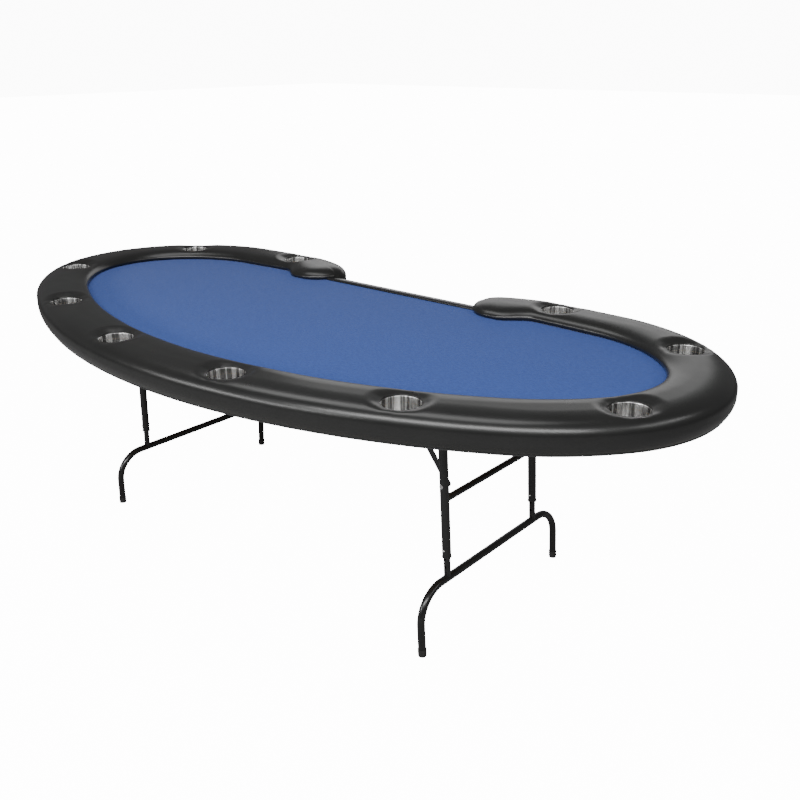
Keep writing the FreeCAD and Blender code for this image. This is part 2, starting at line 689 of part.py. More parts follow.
screws = []
for leg in legs:
    plate_low = leg.pivot_height + ear_drop - size("plate_thickness")
    for x, y in hinge_screws(leg) + stay_screws(leg):
        head = cylinder("Dims.screw_head_radius", "Dims.screw_head_height",
                        place(x, y, plate_low - size("screw_head_height")))
        shank = cylinder("Dims.screw_radius", "Dims.screw_length", place(x, y, plate_low))
        screws.append(fuse(head, shank))
keep("bracket_screws", group(*screws))

# ---------------------------------------------------------------- leg frames

def hollow_rod(radius, length, where, *tools):
    """A length of tube, trimmed by the pieces it meets."""
    bore = cylinder("%s - Dims.tube_wall" % radius, length + 2, where.multiply(place(0, 0, -1)))
    return cut(cylinder(radius, length, where), bore, *tools)


def leg_frame(leg):
    """Pivot tube, two posts and a crossbar, welded, with bushings in the posts' lower ends."""
    half = hinge_ear_at + size("ear_thickness") + size("pivot_tube_over")
    keep(leg.name + "_pivot_tube", hollow_rod("Dims.outer_tube_radius", 2 * half,
                                              leg.at(-half, leg.pivot_height, ALONG_Y)))
    post = size("post_offset")
    for name, end in ENDS:
        seat = cylinder("Dims.outer_tube_radius", 4 * size("outer_tube_radius"),
                        leg.at(end * post - 2 * size("outer_tube_radius"), leg.pivot_height, ALONG_Y))
        rivet_hole = cylinder("Dims.rivet_radius", 4 * size("outer_tube_radius"),
                              leg.at(end * post - 2 * size("outer_tube_radius"), size("rivet_height"), ALONG_Y))
        button_hole = cylinder("Dims.button_radius + Dims.button_hole_gap", 4 * size("outer_tube_radius"),
                               leg.at(end * post - 2 * size("outer_tube_radius"), size("button_height"), ALONG_Y))
        keep("%s_%s_post" % (leg.name, name),
             hollow_rod("Dims.outer_tube_radius", leg.drop(size("sleeve_end")),
                        leg.at(end * post, size("sleeve_end")), seat, rivet_hole, button_hole))
    posts = [cylinder("Dims.outer_tube_radius", 100.0, leg.at(end * post, size("crossbar_height"), lower=50.0))
             for name, end in ENDS]
    keep(leg.name + "_crossbar", hollow_rod("Dims.crossbar_radius", 2 * post,
                                            leg.at(-post, size("crossbar_height"), ALONG_Y), *posts))
    bushings = []
    for name, end in ENDS:
        sleeve = cylinder("Dims.outer_tube_radius - Dims.tube_wall", "Dims.bushing_inside",
                          leg.at(end * post, size("sleeve_end")))
        collar = cylinder("Dims.bushing_collar_radius", "Dims.bushing_collar",
                          leg.at(end * post, size("sleeve_end"), lower=size("bushing_collar")))
        bore = cylinder("Dims.inner_tube_radius + Dims.running_gap", 40.0,
                        leg.at(end * post, size("sleeve_end"), lower=size("bushing_collar") + 10))
        bushings.append(cut(fuse(sleeve, collar), bore))
    keep(leg.name + "_slide_bushings", group(*bushings))


def stay_rivets(leg):
    """Rivets through the posts, with a washer behind the lower stay."""
    rivets = []
    tube = size("outer_tube_radius")
    head = size("rivet_head_height")
    stay_end = lower_stay_at + size("stay_thickness") + size("running_gap")
    layers = [("Dims.rivet_head_radius", -tube - head, -tube),
              ("Dims.rivet_radius", -tube, stay_end),
              ("Dims.rivet_head_radius", tube, lower_stay_at - size("running_gap")),
              ("Dims.rivet_head_radius", stay_end, stay_end + head)]
    for name, end in ENDS:
        rods = []
        for radius, low, high in layers:
            start = min(-end * low, -end * high)
            rods.append(cylinder(radius, high - low,
                                 leg.at(end * size("post_offset") + start, size("rivet_height"), ALONG_Y)))
        rivets.append(fuse(*rods))
    keep(leg.name + "_stay_rivets", group(*rivets))


def stay_bar(label, length, end, layer, start, angle, tail):
    """A flat bar with round ends, from a pin towards the knuckle, in one layer."""
    low, high = across(end, size("post_offset") - layer - size("stay_thickness"), size("post_offset") - layer)
    where = Placement(Vector(start[0], low, start[1]), Rotation(Vector(0, 1, 0), -math.degrees(angle)))
    bar = box(length, "Dims.stay_thickness", "2 * Dims.stay_radius",
              where.multiply(place(0, 0, -size("stay_radius"))))
    lobes = [cylinder("Dims.stay_radius", "Dims.stay_thickness", where.multiply(place(x, 0, 0, ALONG_Y)))
             for x in (0.0, length)]
    hole = cylinder("Dims.rivet_radius + Dims.running_gap", "Dims.stay_thickness + 2",
                    where.multiply(place(0, -1, 0, ALONG_Y)))
    if tail:
        far_hole = cylinder("Dims.rivet_radius + Dims.running_gap", "Dims.stay_thickness + 2",
                            where.multiply(place(length, -1, 0, ALONG_Y)))
        return cut(fuse(bar, *lobes), hole, far_hole)
    head_low = across(end, size("post_offset") - layer - size("stay_thickness") - size("rivet_head_height"),
                      size("post_offset") - layer - size("stay_thickness"))[0]
    stub = cylinder("Dims.rivet_head_radius", "Dims.rivet_head_height",
                    where.multiply(place(length, head_low - low, 0, ALONG_Y)))
    return cut(fuse(bar, stub, *lobes), hole)


def stays(leg):
    """Lower stays on the posts, upper stays under the board, and the knuckle rivets."""
    rivet, pin = leg.rivet(), leg.stay_pin()
    lower, upper = leg.stay_lengths()
    up = math.atan2(pin[1] - rivet[1], pin[0] - rivet[0])
    down = math.atan2(rivet[1] - pin[1], rivet[0] - pin[0])
    knuckle = (rivet[0] + lower * math.cos(up), rivet[1] + lower * math.sin(up))
    keep(leg.name + "_lower_stays", group(*[stay_bar("lower", lower, end, lower_stay_at, rivet, up, True)
                                            for name, end in ENDS]))
    keep(leg.name + "_upper_stays", group(*[stay_bar("upper", upper, end, upper_stay_at, pin, down, False)
                                            for name, end in ENDS]))
    rivets = []
    for name, end in ENDS:
        post = size("post_offset")
        shank_low, shank_high = across(end, post - lower_stay_at - size("stay_thickness"), post - lower_stay_at)
        head_low, head_high = across(end, post - lower_stay_at, post - lower_stay_at + size("rivet_head_height"))
        shank = cylinder("Dims.rivet_radius", shank_high - shank_low, place(knuckle[0], shank_low, knuckle[1], ALONG_Y))
        head = cylinder("Dims.rivet_head_radius", "Dims.rivet_head_height",
                        place(knuckle[0], head_low, knuckle[1], ALONG_Y))
        rivets.append(fuse(shank, head))
    keep(leg.name + "_knuckle_rivets", group(*rivets))
    print(leg.name, "stays", round(lower, 2), round(upper, 2), "angle", round(math.degrees(up), 3))


def foot(leg):
    """A tube bent down at both ends, with the two height tubes on top and a rubber cap on each foot."""
    half = size("foot_bar_half")
    bend = size("foot_bend_radius")
    foot_y = half + bend
    height = size("foot_bar_height")

    def bent_rod(radius, over):
        run = leg.drop(size("cap_sole")) - leg.drop(height) - bend
        pieces = [cylinder(radius, 2 * half, leg.at(-half, height, ALONG_Y))]
        for end, turn in ((1, ACROSS_BACK), (-1, ACROSS_FRONT)):
            ring = doc.addObject("Part::Torus", "bend")
            put(ring, "Radius1", "Dims.foot_bend_radius")
            put(ring, "Radius2", radius)
            ring.Angle3 = 90
            ring.Placement = leg.at(end * half, height, turn, lower=bend)
            pieces.append(ring)
            pieces.append(cylinder(radius, run + over, leg.at(end * foot_y, height, lower=bend + run + over)))
        return fuse(*pieces)

    bar = cut(bent_rod("Dims.foot_bar_radius", 0.0), bent_rod("Dims.foot_bar_radius - Dims.tube_wall", 1.0))
    keep(leg.name + "_foot_bar", bar)
    for name, end in ENDS:
        y = end * size("post_offset")
        length = leg.drop(height) - leg.drop(size("inner_tube_top"))
        saddle = cylinder("Dims.foot_bar_radius", 60.0, leg.at(y - 30.0, height, ALONG_Y))
        holes = [cylinder("Dims.button_radius + Dims.button_hole_gap", 40.0,
                          leg.at(y - 20.0, size("button_height"), ALONG_Y, lower=-step * size("hole_pitch")))
                 for step in range(-2, 5)]
        keep("%s_%s_height_tube" % (leg.name, name),
             hollow_rod("Dims.inner_tube_radius", length, leg.at(y, height), saddle, *holes))
    caps = []
    for end in (-1, 1):
        below = 6.0
        shell = cylinder("Dims.cap_radius", size("cap_height") - size("cap_bevel_height"),
                         leg.at(end * foot_y, size("cap_bevel_height")))
        toe = doc.addObject("Part::Cone", "toe")
        put(toe, "Radius1", "Dims.cap_radius - 2 * Dims.cap_bevel")
        put(toe, "Radius2", "Dims.cap_radius")
        put(toe, "Height", "Dims.cap_bevel_height + %g" % below)
        toe.Placement = leg.at(end * foot_y, size("cap_bevel_height"), lower=size("cap_bevel_height") + below)
        bore = cylinder("Dims.foot_bar_radius", "Dims.cap_height + 20", leg.at(end * foot_y, size("cap_sole")))
        floor = box(200.0, 200.0, 50.0, place(leg.side * size("foot_reach") - 100,
                                              size("leg_centre") + end * foot_y - 100, -50))
        caps.append(cut(fuse(shell, toe), bore, floor))
    keep(leg.name + "_foot_caps", group(*caps))


def snap_button(leg, name, end, facing):
    """A domed pin through one wall of a post; facing is the way it points along y."""
    out = "inner" if facing == -end else "outer"
    start = size("button_start")
    centre = end * size("post_offset")
    shank_low = centre + min(facing * start, facing * (start + size("button_shank")))
    shank = cylinder("Dims.button_radius", "Dims.button_shank", leg.at(shank_low, size("button_height"), ALONG_Y))
    dome = doc.addObject("Part::Sphere", "dome")
    put(dome, "Radius", "Dims.button_radius")
    dome.Placement = leg.at(centre + facing * (start + size("button_shank")), size("button_height"))
    reach = 2 * size("button_radius")
    inward = centre + facing * (start + size("button_shank"))
    trim_low = min(inward, inward - facing * reach)
    half_space = box(2 * reach, reach, 2 * reach,
                     leg.at(trim_low, size("button_height")).multiply(place(-reach, 0, -reach)))
    keep("%s_%s_%s_button" % (leg.name, name, out), fuse(shank, cut(dome, half_space)))


for leg in legs:
    leg_frame(leg)
    stay_rivets(leg)
    stays(leg)
    foot(leg)
    for name, end in ENDS:
        for facing in (-1, 1):
            snap_button(leg, name, end, facing)

# ---------------------------------------------------------------- check and write

doc.recompute()
for item in doc.Objects:
    if "Invalid" in item.State or "Error" in item.State:
        raise RuntimeError("%s failed: %s" % (item.Label, item.State))
for label, item in nodes.items():
    if item.Shape.isNull() or not item.Shape.isValid() or not item.Shape.Solids:
        raise RuntimeError(label + " has no valid solid")

os.makedirs("parts", exist_ok=True)
for label, item in nodes.items():
    item.Shape.exportStep("parts/%s.step" % label)
print(len(nodes), "sub-parts written")
for leg in legs:
    print(leg.name, "pivot", round(leg.pivot_x, 3), leg.pivot_height, "pin", leg.stay_pin(), "rivet", leg.rivet())
print("cups", [(round(x, 2), round(y, 2)) for x, y in cup_places])
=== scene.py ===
import math
import bmesh
import bpy
import numpy as np
from mathutils import Matrix, Vector


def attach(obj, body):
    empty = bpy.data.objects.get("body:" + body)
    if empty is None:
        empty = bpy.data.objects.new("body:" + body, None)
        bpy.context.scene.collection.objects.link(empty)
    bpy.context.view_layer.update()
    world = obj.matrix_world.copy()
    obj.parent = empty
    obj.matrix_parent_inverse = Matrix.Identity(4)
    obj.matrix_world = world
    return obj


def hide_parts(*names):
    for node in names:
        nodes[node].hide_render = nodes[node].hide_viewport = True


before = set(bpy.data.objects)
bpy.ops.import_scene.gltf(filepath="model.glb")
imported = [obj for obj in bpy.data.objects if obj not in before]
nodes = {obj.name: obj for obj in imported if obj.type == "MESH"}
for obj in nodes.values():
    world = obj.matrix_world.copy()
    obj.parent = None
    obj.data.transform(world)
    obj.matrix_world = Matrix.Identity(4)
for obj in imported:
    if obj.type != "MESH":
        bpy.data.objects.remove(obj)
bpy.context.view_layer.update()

# ---------------------------------------------------------------- camera, floor and light
# A plain pale floor with a plain soft studio light, seen from the near right-hand end.

camera_data = bpy.data.cameras.new("camera")
camera_data.lens = 40.88
camera_data.sensor_width = 36.0
camera = bpy.data.objects.new("camera", camera_data)
bpy.context.scene.collection.objects.link(camera)
azimuth, elevation, roll = math.radians(40.45), math.radians(21.2), -0.007
back = Vector((math.sin(azimuth) * math.cos(elevation), -math.cos(azimuth) * math.cos(elevation),
               math.sin(elevation)))
level_right = (-back).cross(Vector((0, 0, 1))).normalized()
level_up = level_right.cross(-back)
right = level_right * math.cos(roll) + level_up * math.sin(roll)
up = level_up * math.cos(roll) - level_right * math.sin(roll)
turn = Matrix((right, up, back)).transposed().to_4x4()
camera.matrix_world = Matrix.Translation((1.9673, -1.8653, 1.5220)) @ turn
bpy.context.scene.camera = camera


def plain_material(name):
    """A material with its shader and the Object coordinates that its patterns read."""
    material = bpy.data.materials.new(name)
    material.use_nodes = True
    tree = material.node_tree
    shader = tree.nodes["Principled BSDF"]
    place = tree.nodes.new("ShaderNodeTexCoord")
    return material, tree, shader, place.outputs["Object"]


floor_mesh = bpy.data.meshes.new("floor")
floor_mesh.from_pydata([(-30, -30, 0), (30, -30, 0), (30, 30, 0), (-30, 30, 0)], [], [(0, 1, 2, 3)])
floor = bpy.data.objects.new("floor", floor_mesh)
bpy.context.scene.collection.objects.link(floor)
floor_material, tree, shader, place = plain_material("pale_floor")
shader.inputs["Base Color"].default_value = (0.35, 0.35, 0.35, 1)
shader.inputs["Roughness"].default_value = 0.9
shader.inputs["Specular IOR Level"].default_value = 0.1
floor_mesh.materials.append(floor_material)

# the floor and the backdrop look white straight on, yet light the table only softly
FLOOR_GLOW, BACKDROP_GLOW, AMBIENT = 14.0, 14.5, 0.17
ray = tree.nodes.new("ShaderNodeLightPath")
glow = tree.nodes.new("ShaderNodeMath")
glow.operation = "MULTIPLY"
glow.inputs[1].default_value = FLOOR_GLOW
shader.inputs["Emission Color"].default_value = (1.0, 1.0, 1.0, 1)
tree.links.new(ray.outputs["Is Camera Ray"], glow.inputs[0])
tree.links.new(glow.outputs[0], shader.inputs["Emission Strength"])

world = bpy.data.worlds.new("studio")
world.use_nodes = True
sky = world.node_tree
ambient = sky.nodes["Background"]
ambient.inputs["Color"].default_value = (1.0, 1.0, 1.0, 1)
ambient.inputs["Strength"].default_value = AMBIENT
backdrop = sky.nodes.new("ShaderNodeBackground")
backdrop.inputs["Strength"].default_value = BACKDROP_GLOW
ray = sky.nodes.new("ShaderNodeLightPath")
either = sky.nodes.new("ShaderNodeMixShader")
sky.links.new(ray.outputs["Is Camera Ray"], either.inputs["Fac"])
sky.links.new(ambient.outputs[0], either.inputs[1])
sky.links.new(backdrop.outputs[0], either.inputs[2])
sky.links.new(either.outputs[0], sky.nodes["World Output"].inputs["Surface"])
bpy.context.scene.world = world


def softbox(name, where, aim, size, power):
    """A large rectangular lamp at one place, turned to face another."""
    data = bpy.data.lights.new(name, "AREA")
    data.shape = "RECTANGLE"
    data.size, data.size_y = size
    data.energy = power
    lamp = bpy.data.objects.new(name, data)
    lamp.location = where
    lamp.rotation_euler = (Vector(where) - Vector(aim)).to_track_quat("Z", "Y").to_euler()
    bpy.context.scene.collection.objects.link(lamp)


softbox("key_light", (1.8, -2.5, 2.55), (0.9, -0.3, 0.75), (4.4, 0.7), 150)
softbox("left_light", (-1.3, -3.6, 1.6), (-0.4, 0.0, 0.75), (3.0, 0.5), 55)
softbox("top_light", (-0.3, -0.3, 3.3), (-0.3, 0.0, 0.75), (3.0, 1.2), 40)
softbox("back_light", (-1.5, 3.3, 1.7), (0.0, 0.0, 0.75), (3.2, 1.2), 14)
softbox("end_light", (4.2, 0.6, 2.6), (0.6, 0.0, 0.7), (2.6, 0.6), 25)

# ---------------------------------------------------------------- padded rail
# Foam over a plywood ring, under one skin of black vinyl pulled round the board's edge and stapled
# below. It stops at the dealer's bay in two swollen round ends, and dips at every cup.

# the outer edge is an oval of tangent arcs, flatter towards the dealer; everything on top is laid
# out by the angle of the outline's normal and the distance in from the edge
LENGTH, WIDTH, TOP = 2.550, 1.220, 0.775
OUTLINE_SHIFT = 0.00227
TURNS = np.radians([-90.0, -60.67, -37.24, 36.33, 86.0, 90.0])
NEAR_SHOULDER, END = 0.755, 0.430
RAIL_WIDTH = 0.1715


def outline_arcs():
    """Centres and radii of the five arcs of the right half: a step along an arc of radius r
    from angle a to b is r (cos b - cos a, sin b - sin a), which length and width must meet."""
    c1, c2, c3, c4 = np.cos(TURNS[1:5])
    s1, s2, s3, s4 = np.sin(TURNS[1:5])
    near = (LENGTH / 2 - NEAR_SHOULDER * (c2 - c1) - END * (1 - c2)) / c1
    done = near * (1 + s1) + NEAR_SHOULDER * (s2 - s1) + END * (s3 - s2)
    far_shoulder, far = np.linalg.solve([[c3 - c4, c4], [s4 - s3, 1 - s4]],
                                        [LENGTH / 2 - END * (1 - c3), WIDTH - done])
    radii = np.array([near, NEAR_SHOULDER, END, far_shoulder, far])
    start = np.array([0.0, OUTLINE_SHIFT - WIDTH / 2])
    centres = []
    for radius, a, b in zip(radii, TURNS, TURNS[1:]):
        centre = start - radius * np.array([np.cos(a), np.sin(a)])
        centres.append(centre)
        start = centre + radius * np.array([np.cos(b), np.sin(b)])
    return np.array(centres), radii


CENTRES, RADII = outline_arcs()


def on_oval(angle, inset):
    """Points of the right half: centre + (radius - inset)(cos, sin) of the normal's angle."""
    angle = np.asarray(angle, float)
    arc = np.clip(np.searchsorted(TURNS, angle, side="right") - 1, 0, 4)
    reach = (RADII[arc] - inset)[..., None]
    return CENTRES[arc] + reach * np.stack([np.cos(angle), np.sin(angle)], -1)


def oval_stations(first, last, step, inset):
    """Normal angles about one step apart along the oval at an inset."""
    fine = np.linspace(first, last, 20001)
    points = on_oval(fine, inset)
    run = np.concatenate([[0], np.cumsum(np.hypot(*np.diff(points, axis=0).T))])
    count = int(round(run[-1] / step))
    return np.interp(np.linspace(0, run[-1], count + 1), run, fine)


def smoothstep(x):
    """3x^2 - 2x^3 between 0 and 1, level at both ends."""
    x = np.clip(x, 0, 1)
    return x * x * (3 - 2 * x)


def add_piece(name, vertices, faces, smooth=True):
    """A mesh piece from vertex and face arrays, linked to the scene at the origin."""
    mesh = bpy.data.meshes.new(name)
    mesh.from_pydata(np.asarray(vertices).reshape(-1, 3).tolist(), [],
                     faces if isinstance(faces, list) else faces.tolist())
    mesh.polygons.foreach_set("use_smooth", np.full(len(mesh.polygons), smooth))
    piece = bpy.data.objects.new(name, mesh)
    bpy.context.scene.collection.objects.link(piece)
    return piece


def grid_faces(rows, columns, wrap_rows=False, wrap_columns=False):
    """Quads of a rows by columns grid of vertices."""
    r = np.arange(rows if wrap_rows else rows - 1)
    c = np.arange(columns if wrap_columns else columns - 1)
    r, c = np.meshgrid(r, c, indexing="ij")
    r2, c2 = (r + 1) % rows, (c + 1) % columns
    corners = [r * columns + c, r2 * columns + c, r2 * columns + c2, r * columns + c2]
    return np.stack(corners, -1).reshape(-1, 4)


def weld(piece, distance=1e-6):
    """Merge doubled vertices and turn every face outwards."""
    work = bmesh.new()
    work.from_mesh(piece.data)
    bmesh.ops.remove_doubles(work, verts=work.verts, dist=distance)
    bmesh.ops.dissolve_degenerate(work, edges=work.edges, dist=distance)
    bmesh.ops.recalc_face_normals(work, faces=work.faces)
    for face in work.faces:
        face.smooth = True
    work.to_mesh(piece.data)
    work.free()


CUP_ANGLES = np.radians([-82.62, -67.69, -34.3, 50.0, 87.02])
CUP_DEPTH = 0.080
right_cups = on_oval(CUP_ANGLES, CUP_DEPTH)
cups = np.concatenate([right_cups, right_cups[::-1] * [-1, 1]])

BASE_TOP = 0.7475
MIDDLE = RAIL_WIDTH / 2
STEP, ROUND_STEPS, SWELL_STEPS = 0.0052, 62, 34
# each end: a quarter ellipse from the oval to the tip, then a rounder one to its fullest point,
# then a long ease back to the oval's inner edge
TIP = np.array([0.308, 0.478])
ROUND_START, SWELL_X, SWELL_FRONT, SWELL_HOLDS = 0.560, 0.413, 0.371, 0.440
CREST_LAG = 1.32
END_CREST = np.array([0.402, 0.477])

angles = oval_stations(TURNS[0], TURNS[5], STEP, MIDDLE)
far_side = angles > 1.0
angles = angles[(on_oval(angles, 0.0)[:, 0] > ROUND_START) | ~far_side]
crest = on_oval(angles, MIDDLE)
outer_edge = on_oval(angles, 0.0)
inner_edge = on_oval(angles, RAIL_WIDTH)


def end_crest(share):
    """Line of the end's crest, by its share of the way out from the tip: straight in x and a
    cosine in y."""
    x = END_CREST[0] + (crest[-1, 0] - END_CREST[0]) * share
    y = END_CREST[1] + (crest[-1, 1] - END_CREST[1]) * (0.5 - 0.5 * np.cos(np.pi * share))
    return np.stack([x, y], -1)


sweep = np.linspace(0, np.pi / 2, ROUND_STEPS)[1:]
round_off = np.stack([ROUND_START - (ROUND_START - TIP[0]) * np.sin(sweep),
                      TIP[1] + (outer_edge[-1, 1] - TIP[1]) * np.cos(sweep)], -1)
end_share = ((round_off[:, 0] - TIP[0]) / (ROUND_START - TIP[0])) ** CREST_LAG
round_crest = end_crest(end_share)
sweep = np.linspace(np.pi / 2, 0, SWELL_STEPS)[1:]
swell = np.stack([SWELL_X - (SWELL_X - TIP[0]) * np.sin(sweep),
                  TIP[1] - (TIP[1] - SWELL_FRONT) * np.cos(sweep)], -1)
swell_crest = end_crest(np.zeros(len(swell)))
# both sides of the end meet in the same crest points, so the ease takes the round's shares back
back_share = end_share[-2::-1]
ease_x = SWELL_X + (inner_edge[-1, 0] - SWELL_X) * np.sqrt(back_share)
ease_share = np.clip((ease_x - SWELL_HOLDS) / (inner_edge[-1, 0] - SWELL_HOLDS), 0, 1)
ease_y = SWELL_FRONT + (inner_edge[-1, 1] - SWELL_FRONT) * (0.5 - 0.5 * np.cos(np.pi * ease_share))
ease = np.stack([ease_x, ease_y], -1)
ease_crest = end_crest(back_share)

edge = np.concatenate([outer_edge, round_off, swell, ease, inner_edge[::-1]])
ridge = np.concatenate([crest, round_crest, swell_crest, ease_crest, crest[::-1]])
# 1 where the skin runs down past the board, 0 where it stops at the cloth
FULL_FROM, FULL_RUN = 0.4475, 0.010
full_side = np.concatenate([np.ones(len(outer_edge) + len(round_off)),
                            smoothstep((swell[:, 1] - FULL_FROM) / FULL_RUN),
                            np.zeros(len(ease) + len(inner_edge))])
edge = np.concatenate([edge, edge[-2:0:-1] * [-1, 1]])
ridge = np.concatenate([ridge, ridge[-2:0:-1] * [-1, 1]])
full_side = np.concatenate([full_side, full_side[-2:0:-1]])


def spline_through(corners, count):
    """A uniform cubic B-spline, sampled evenly; its first and last corners are doubled back so
    that it starts and ends on them. Each point is a blend of four corners in a row."""
    corners = np.asarray(corners, float)
    corners = np.concatenate([2 * corners[:1] - corners[1:2], corners, 2 * corners[-1:] - corners[-2:-1]])
    t = np.linspace(0, len(corners) - 3 - 1e-9, count)
    first = t.astype(int)
    u = (t - first)[:, None]
    weights = [(1 - u) ** 3 / 6, (3 * u ** 3 - 6 * u ** 2 + 4) / 6,
               (-3 * u ** 3 + 3 * u ** 2 + 3 * u + 1) / 6, u ** 3 / 6]
    return sum(w * corners[first + k] for k, w in enumerate(weights))


# (share of the half width in from the edge, height) from the crest to where the skin turns under
OUTER_SECTION = [(1.0, 0.7752), (0.80, 0.7752), (0.56, 0.7738), (0.30, 0.7700), (0.09, 0.7600),
                 (-0.02, 0.7400), (-0.012, 0.7180), (0.055, 0.6990), (0.17, 0.6880), (0.30, 0.6840)]
INNER_SECTION = [(1.0, 0.7752), (0.80, 0.7752), (0.56, 0.7742), (0.32, 0.7715), (0.12, 0.7650),
                 (0.01, 0.7535), (0.00, 0.7455), (0.045, 0.7403), (0.09, 0.7392)]
SECTION_STEPS = 34
# below this height a section keeps the oval's own width, whatever the crest does above
LOW_FROM, LOW_RUN = 0.742, 0.058


def half_section(width, full):
    """Insets and heights from the crest over the edge to the underside, for every station: the
    outer or the inner section, or a blend of both round the tip. What lies below is hidden."""
    outer = spline_through(OUTER_SECTION, SECTION_STEPS)
    inner = spline_through(INNER_SECTION, SECTION_STEPS)
    f = full[:, None, None]
    shape = outer[None] * f + inner[None] * (1 - f)
    shape = np.concatenate([np.clip(shape[..., :1], 0, None), shape[..., 1:]], -1)
    low_side = np.clip((LOW_FROM - shape[..., 1]) / LOW_RUN, 0, 1)
    reach = width[:, None] * (1 - low_side) + MIDDLE * low_side
    skin_part = np.stack([shape[..., 0] * reach, shape[..., 1]], -1)
    full_under = np.array([(0.0264, 0.6856), (0.0212, 0.6880), (0.0164, 0.6910), (0.0135, 0.6970),
                           (0.013, 0.7350), (0.0212, 0.7352), (0.0212, 0.7470)])
    lip_under = np.array([(0.0090, 0.7393), (0.0098, 0.7393), (0.0106, 0.7393), (0.0114, 0.7394),
                          (0.0120, 0.7395), (0.0125, 0.7396), (0.0125, 0.7470)])
    under = full_under[None] * f + lip_under[None] * (1 - f)
    centre = np.stack([width, np.full(len(width), BASE_TOP)], -1)[:, None]
    return np.concatenate([skin_part, under, centre], axis=1)


width = np.hypot(*(ridge - edge).T)
inward = (ridge - edge) / width[:, None]
section = half_section(width, full_side)
flat = edge[:, None] + inward[:, None] * section[..., :1]
skin = np.concatenate([flat, section[..., 1:]], -1)

# dips round the cups, with the gathers of vinyl pulled into each hole
DIP_FLOOR, DIP_INNER, DIP_OUTER, DIP_EASE = 0.7642, 0.0500, 0.0900, 0.7
GATHERS, GATHER_HEIGHT, GATHER_FROM, GATHER_RUN = 9, 0.0007, 0.05, 0.03
top_part = section[..., 1] > BASE_TOP + 0.002
for number, cup in enumerate(cups):
    away = skin[..., :2] - cup
    distance = np.hypot(away[..., 0], away[..., 1])
    bearing = np.arctan2(away[..., 1], away[..., 0])
    pull = 1 - smoothstep(np.clip((distance - DIP_INNER) / (DIP_OUTER - DIP_INNER), 0, 1) ** DIP_EASE)
    fade = np.sin(np.pi * np.clip((distance - GATHER_FROM) / GATHER_RUN, 0, 1))
    gather = GATHER_HEIGHT * np.sin(GATHERS * bearing + number) * fade
    sunk = np.minimum(skin[..., 2], DIP_FLOOR) + gather
    skin[..., 2] = np.where(top_part, skin[..., 2] * (1 - pull) + sunk * pull, skin[..., 2])

# the slow unevenness of hand-pulled vinyl over foam: a sum of (cycles, height, phase) sines along
# the rail, fading to nothing at the crest and the underside
WAVE_HEIGHT, WAVE_LOWEST = 0.0007, 0.72
stations, layers = skin.shape[:2]
wave = np.zeros((stations, 1))
along = np.linspace(0, 2 * np.pi, stations, endpoint=False)[:, None]
for cycles, height, phase in ((11, 0.5, 0.4), (17, 0.4, 1.9), (29, 0.3, 3.1), (43, 0.2, 0.9)):
    wave = wave + height * np.sin(cycles * along + phase)
over_top = np.sin(np.linspace(0, np.pi, SECTION_STEPS))[None]
on_show = section[:, :SECTION_STEPS, 1] > WAVE_LOWEST
skin[:, :SECTION_STEPS, 2] += WAVE_HEIGHT * wave * over_top * on_show

skin[..., 2] = np.minimum(skin[..., 2], TOP)
rail = add_piece("rail_padding", skin, grid_faces(stations, layers, wrap_rows=True))
weld(rail, 2e-5)

# a round hole for every cup
HOLE, HOLE_SIDES, HOLE_LOW, HOLE_HIGH = 0.0496, 64, 0.70, 0.80
ring = np.linspace(0, 2 * np.pi, HOLE_SIDES, endpoint=False)
circle = HOLE * np.stack([np.cos(ring), np.sin(ring)], -1)
cutter_points = np.concatenate([
    np.concatenate([cup + circle, np.full((HOLE_SIDES, 1), z)], -1)
    for cup in cups for z in (HOLE_LOW, HOLE_HIGH)])
cutter_faces = []
for number in range(len(cups)):
    start = number * 2 * HOLE_SIDES
    cutter_faces += (grid_faces(2, HOLE_SIDES, wrap_columns=True) + start)[:, ::-1].tolist()
    cutter_faces += [list(range(start, start + HOLE_SIDES))[::-1],
                     list(range(start + HOLE_SIDES, start + 2 * HOLE_SIDES))]
cutter = add_piece("hole_cutter", cutter_points, cutter_faces)
holes = rail.modifiers.new("cup_holes", "BOOLEAN")
holes.operation = "DIFFERENCE"
holes.solver = "EXACT"
holes.object = cutter
bpy.context.view_layer.update()
evaluated = rail.evaluated_get(bpy.context.evaluated_depsgraph_get())
cut_mesh = bpy.data.meshes.new_from_object(evaluated)
rail.modifiers.clear()
rail.data = cut_mesh
bpy.data.objects.remove(cutter)


def pattern_group(name, inputs, outputs):
    """A shader node group with named sockets, and its input and output nodes."""
    group = bpy.data.node_groups.new(name, "ShaderNodeTree")
    for label, kind, value in inputs:
        socket = group.interface.new_socket(label, in_out="INPUT", socket_type=kind)
        if value is not None:
            socket.default_value = value
    for label, kind in outputs:
        group.interface.new_socket(label, in_out="OUTPUT", socket_type=kind)
    return group, group.nodes.new("NodeGroupInput"), group.nodes.new("NodeGroupOutput")


def link(tree, source, target):
    """Join one node's output socket to another's input."""
    tree.links.new(source, target)


def math_node(tree, operation, a, b):
    """A Math node's output; each value is a number or another node's output."""
    node = tree.nodes.new("ShaderNodeMath")
    node.operation = operation
    for socket, value in zip(node.inputs, (a, b)):
        if hasattr(value, "node"):
            link(tree, value, socket)
        else:
            socket.default_value = value
    return node.outputs[0]


def noise_node(tree, vector, scale, detail=3.0, roughness=0.5):
    """Soft noise between 0 and 1 at a scale, which is a number or another node's output."""
    node = tree.nodes.new("ShaderNodeTexNoise")
    node.inputs["Detail"].default_value = detail
    node.inputs["Roughness"].default_value = roughness
    link(tree, vector, node.inputs["Vector"])
    if hasattr(scale, "node"):
        link(tree, scale, node.inputs["Scale"])
    else:
        node.inputs["Scale"].default_value = scale
    return node.outputs["Fac"]


